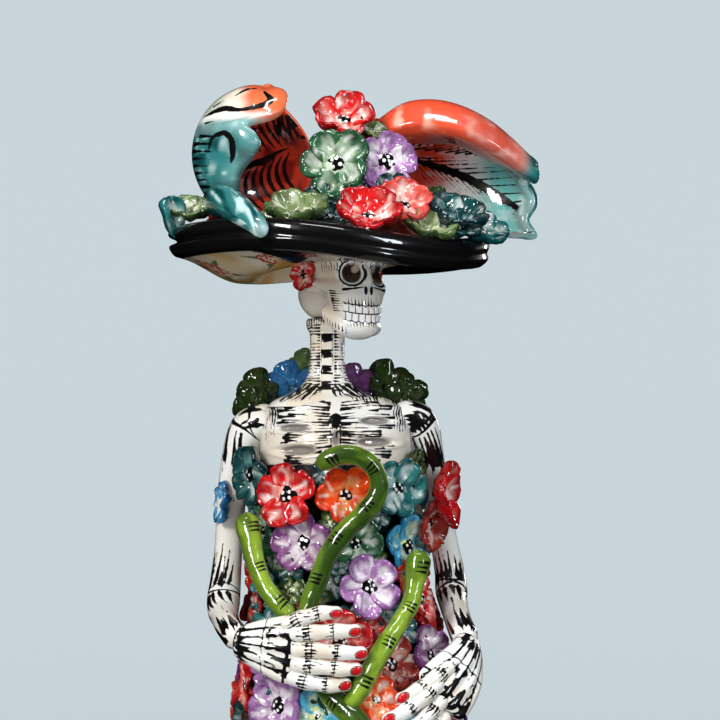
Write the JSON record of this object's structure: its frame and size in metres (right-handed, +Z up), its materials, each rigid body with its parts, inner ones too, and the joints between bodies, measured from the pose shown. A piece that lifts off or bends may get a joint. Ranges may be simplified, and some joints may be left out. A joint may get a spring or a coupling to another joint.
{
  "type": "catrina figure",
  "caption": "Standing skeleton lady in a dress of modelled flowers, holding green stems, with a turning head and a lift-off plumed hat.",
  "frame": {"origin": "centre of the base plate on the surface it stands on", "axes": "+Z up; the figure faces -Y, and its left is towards +X"},
  "size_m": [0.168, 0.168, 0.4616],
  "materials": {
    "black_glaze": "gloss glaze over brushed colour",
    "blue_glaze": "gloss glaze over brushed colour",
    "bone_glaze": "gloss glaze over brushed colour",
    "green_glaze": "gloss glaze over brushed colour",
    "lilac_glaze": "gloss glaze over brushed colour",
    "olive_glaze": "gloss glaze over brushed colour",
    "orange_glaze": "gloss glaze over brushed colour",
    "peg_wood": "bare sanded wood",
    "plume_glaze": "gloss glaze over brushed colour",
    "purple_glaze": "gloss glaze over brushed colour",
    "red_glaze": "gloss glaze over brushed colour",
    "salmon_glaze": "gloss glaze over brushed colour",
    "stem_glaze": "gloss glaze over brushed colour",
    "teal_glaze": "gloss glaze over brushed colour"
  },
  "bodies": {
    "figure": {"base_plate": "black_glaze", "bodice_shell": "black_glaze", "flower_blue_hip": "blue_glaze", "flower_blue_waist": "blue_glaze", "flower_dark_teal_bust": "teal_glaze", "flower_green_waist": "green_glaze", "flower_left_arm": "red_glaze", "flower_lilac_hip": "lilac_glaze", "flower_lilac_waist": "lilac_glaze", "flower_olive_side": "olive_glaze", "flower_orange_bust": "orange_glaze", "flower_purple_side": "purple_glaze", "flower_purple_waist": "purple_glaze", "flower_red_bust": "red_glaze", "flower_red_hip": "red_glaze", "flower_red_middle": "red_glaze", "flower_red_side": "red_glaze", "flower_right_arm": "blue_glaze", "flower_rust_hip": "salmon_glaze", "flower_teal_bust": "teal_glaze", "flower_teal_side": "teal_glaze", "garland_back_chest": "blue_glaze", "garland_back_hip": "green_glaze", "garland_back_waist": "orange_glaze", "garland_calf": "salmon_glaze", "garland_hem": "olive_glaze", "garland_hip": "purple_glaze", "garland_knee": "red_glaze", "garland_shawl": "green_glaze", "garland_thigh": "teal_glaze", "hem_roll": "black_glaze", "left_forearm": "bone_glaze", "left_hand": "bone_glaze", "left_upper_arm": "bone_glaze", "neck_column": "bone_glaze", "rib_cage": "bone_glaze", "right_forearm": "bone_glaze", "right_hand": "bone_glaze", "right_upper_arm": "bone_glaze", "skirt_shell": "black_glaze", "stem_left": "stem_glaze", "stem_long": "stem_glaze", "stem_right": "stem_glaze"},
    "peg": {"neck_dowel": "peg_wood"},
    "head": {"skull": "bone_glaze", "ear_flower_left": "red_glaze", "ear_flower_right": "red_glaze"},
    "hat": {"hat_brim": "black_glaze", "hat_crown": "black_glaze", "hat_flower_green": "green_glaze", "hat_flower_olive_front": "olive_glaze", "hat_flower_olive_side": "olive_glaze", "hat_flower_purple": "purple_glaze", "hat_flower_red_front": "red_glaze", "hat_flower_red_top": "red_glaze", "hat_flower_salmon": "salmon_glaze", "hat_flower_teal_side": "teal_glaze", "left_plume": "plume_glaze", "right_plume": "plume_glaze", "right_plume_tail": "teal_glaze"}
  },
  "joints": [
    {"name": "head_turn", "type": "hinge", "parent": "figure", "child": "peg", "pos_m": [-0.0035, 0.002, 0.3665], "axis": [0, 0, 1], "range_deg": [-60, 40]},
    {"name": "head_lift", "type": "slide", "parent": "peg", "child": "head", "axis": [0, 0, 1], "range_m": [0, 0.03]},
    {"name": "hat_lift", "type": "slide", "parent": "head", "child": "hat", "axis": [0.0262, -0.0087, 0.9996], "range_m": [0, 0.04]}
  ]
}
